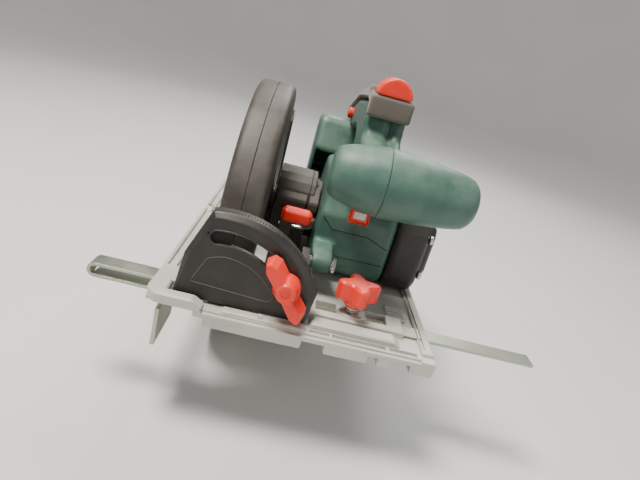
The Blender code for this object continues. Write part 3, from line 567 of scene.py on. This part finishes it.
def smooth_guard():
    """The outer and inner halves of the fixed guard."""
    for node, name, wall, rim, hole in (("upper_guard_outer", "guard_outer", -61.5, -47.65, 36.0),
                                        ("upper_guard_inner", "guard_inner", -34.0, -47.35, 22.4)):
        made = add(name, guard_shape(wall, rim, hole), NODES[node]["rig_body"], FINISH["guard_plastic"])
        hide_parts(node)


def left_ledge():
    """Inner ledge along the base's left rail, in two stretches."""
    section = [(-84.7, 9.9), (-79.6, 9.9), (-80.2, 12.0), (-84.7, 12.6)]
    bm = bmesh.new()
    for start, end in LEDGE_SPANS:
        prism(bm, section, start, end)
    add("left_ledge", bm, "base", FINISH["cast_base"])


def slot_edges():
    """The slot's raised lip, and the plate that fills the corners of its round upper end."""
    black = FINISH["black_plastic"]
    lip_reach = 4.4
    inner_foot, outer_foot = 36, 34         # the lip's two lower ends, degrees
    corner_reach, corner_top = 3.9, 105.6
    corner_back = -138.3
    end = (TILT[0] + BOLT_R * math.cos(math.radians(SLOT_END)),
           TILT[1] + BOLT_R * math.sin(math.radians(SLOT_END)))
    lip = arc(TILT, BOLT_R - lip_reach, inner_foot, SLOT_END, 30)
    lip += arc(end, lip_reach, SLOT_END + 180, SLOT_END, 12)[1:-1]
    lip += arc(TILT, BOLT_R + lip_reach, SLOT_END, outer_foot, 30)
    tube("slot_lip", [(x, QUADRANT_FACE - 0.15, z) for x, z in lip], 0.6, "base", black)
    corner = band(TILT, BOLT_R + corner_reach, BOLT_R - corner_reach, SLOT_END, corner_top, 4)
    corner += arc(end, SLOT_HALF_WIDTH, SLOT_END - 180, SLOT_END - 360, 12)
    add_prism("slot_end", corner, QUADRANT_FACE, corner_back, "base", black)


def panel_line():
    """Edge of the quadrant's recessed panel."""
    panel = [(-64.4, 22.5), (-63.6, 25.5), (-57.6, 38.8), (-52.5, 41.0), (-47.5, 42.0)]
    panel += arc(TILT, 36.0, 85, 30, 20) + [(-17.2, 21.6), (-19.6, 20.2)]
    tube("panel_line", [(x, QUADRANT_FACE - 0.1, z) for x, z in panel], 0.22, "base", FINISH["scuff"],
         closed=True)


def rim_ticks():
    """Plain degree ticks on the quadrant's rim."""
    inner, outer = 60.5, 61.8
    front, back = -135.5, -131.0
    bm = bmesh.new()
    for i in range(RIM_TICKS):
        start = FIRST_TICK + TICK_STEP * i
        prism(bm, band(TILT, inner, outer, start, start + TICK_WIDTH, 1), front, back)
    add("rim_ticks", bm, "base", FINISH["black_plastic"])


def slot_painted_shade():
    """Painted shade: dark plates in the slot, at its recessed upper end and behind the through slot beside
    the wing knob, the second tilting with the saw.
    """
    # painted shade: a near-black strip on the recessed floor of the slot's upper end
    floor = band(TILT, 43.6, 50.4, 88.3, 104.6, 10)
    add_prism("slot_end_painted_shade", floor, -138.35, -138.12, "base", FINISH["seam_and_shade"])
    # painted shade: a dark sheet behind the through slot, where the real slot only lies in shade
    shade_sheet = band(TILT, 41.5, 50.5, 46.8, 53, 8)
    add_prism("slot_painted_shade_sheet", shade_sheet, -136.6, -135.8, NODES["front_bracket"]["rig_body"],
              FINISH["seam_and_shade"])


def motor_seams():
    """Parting lines on the motor housing's front."""
    for name, path in (("front_seam_low", [(5.5, 26), (20, 31), (56, 31)]),
                       ("front_seam_high", [(6, 58), (14, 50), (40, 50), (56, 44)])):
        tube(name, [(x, MOTOR_FRONT, z) for x, z in path], 0.3, MOTOR_BODY, FINISH["seam_and_shade"],
             sides=6)


def plain_badge():
    """A red plate with a round edge and a pale, empty middle."""
    corners = ((23.0, 59.4), (36.5, 59.4), (36.5, 70.0), (23.0, 70.0))
    tube("badge_frame", [(x, -72.2, z) for x, z in corners], 0.8, MOTOR_BODY, FINISH["red_plastic"],
         sides=6, closed=True)
    middle = [(x, BADGE_Z[0]) for x in BADGE_X] + [(x, BADGE_Z[1]) for x in reversed(BADGE_X)]
    add_prism("badge_band", middle, BADGE_FRONT - 0.3, BADGE_FRONT, MOTOR_BODY, FINISH["badge"])
    paint(NODES["badge"], FINISH["red_plastic"])


# ---------------------------------------------------------------- the studio

def backdrop():
    """A pale floor that curves up into a low round wall."""
    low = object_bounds()[0][2] / MM - 1.0
    profile = [(0, 0), (400, 0), (1500, 0), (1750, 20), (2000, 90), (2200, 220), (2340, 420),
               (2420, 700), (2450, 1100)]
    bm = bmesh.new()
    lathe(bm, [(r, low + h) for r, h in profile], "z", (0, 0), sides=96)
    mesh = to_mesh("floor", bm)
    mesh.shade_smooth()
    mesh.flip_normals()
    floor = bpy.data.objects.new("floor", mesh)
    bpy.context.scene.collection.objects.link(floor)
    graph = Graph("pale_floor")
    tone = graph.mix(graph.ramp(graph.noise(3.0), 0.3, 0.7), (0.66, 0.655, 0.645), (0.70, 0.695, 0.685))
    graph.link(tone, graph.shader.inputs["Base Color"])
    graph.shader.inputs["Roughness"].default_value = 0.7
    mesh.materials.append(graph.material)


def lights():
    """Pale surroundings and three soft lamps; places and sizes in metres, power in watts."""
    world = bpy.data.worlds.new("studio")
    bpy.context.scene.world = world
    world.use_nodes = True
    background = world.node_tree.nodes["Background"]
    background.inputs["Color"].default_value = (0.95, 0.97, 1.0, 1.0)
    background.inputs["Strength"].default_value = 0.24
    lamps = (("key", (-0.40, -0.22, 1.2), 0.4, 30.0, (1.0, 0.96, 0.89)),
             ("fill", (0.9, -0.9, 0.6), 1.0, 4.0, (0.92, 0.96, 1.0)),
             ("back", (0.25, 0.9, 1.0), 0.6, 12.0, (1.0, 0.98, 0.95)))
    aim = Vector((0, 0, 0.04))
    for name, place, size, power, colour in lamps:
        light = bpy.data.lights.new(name, "AREA")
        light.size = size
        light.energy = power
        light.color = colour
        lamp = bpy.data.objects.new(name, light)
        bpy.context.scene.collection.objects.link(lamp)
        lamp.location = place
        lamp.rotation_euler = (aim - lamp.location).to_track_quat("-Z", "Y").to_euler()


def camera():
    eye = bpy.data.cameras.new("view")
    eye.lens = LENS
    eye.sensor_width = SENSOR
    eye.clip_start = 10 * MM
    stand = bpy.data.objects.new("view", eye)
    bpy.context.scene.collection.objects.link(stand)
    turn, drop = math.radians(CAMERA_TURN), math.radians(CAMERA_DROP)
    ahead = Vector((math.sin(turn) * math.cos(drop), math.cos(turn) * math.cos(drop), math.sin(drop)))
    facing = ahead.to_track_quat("-Z", "Y").to_matrix()
    roll = Matrix.Rotation(math.radians(CAMERA_ROLL), 3, "Z")
    stand.matrix_world = Matrix.Translation(Vector(CAMERA_AT) * MM) @ (facing @ roll).to_4x4()
    bpy.context.scene.camera = stand


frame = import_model()
NODES = frame["nodes"]
FINISH = {**plastics(), **metals()}     # by material slot; guard_plastic, the near-black seam finish (also painted shade in the slot) and scuff are extra finishes
MOTOR_BODY = NODES["motor_housing"]["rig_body"]
dress_cad()
soften_mouldings()
soften_handle()
arch()
gear_case()
wing_knob()
smooth_guard()
left_ledge()
slot_edges()
panel_line()
rim_ticks()
slot_painted_shade()
motor_seams()
plain_badge()
backdrop()
lights()
camera()
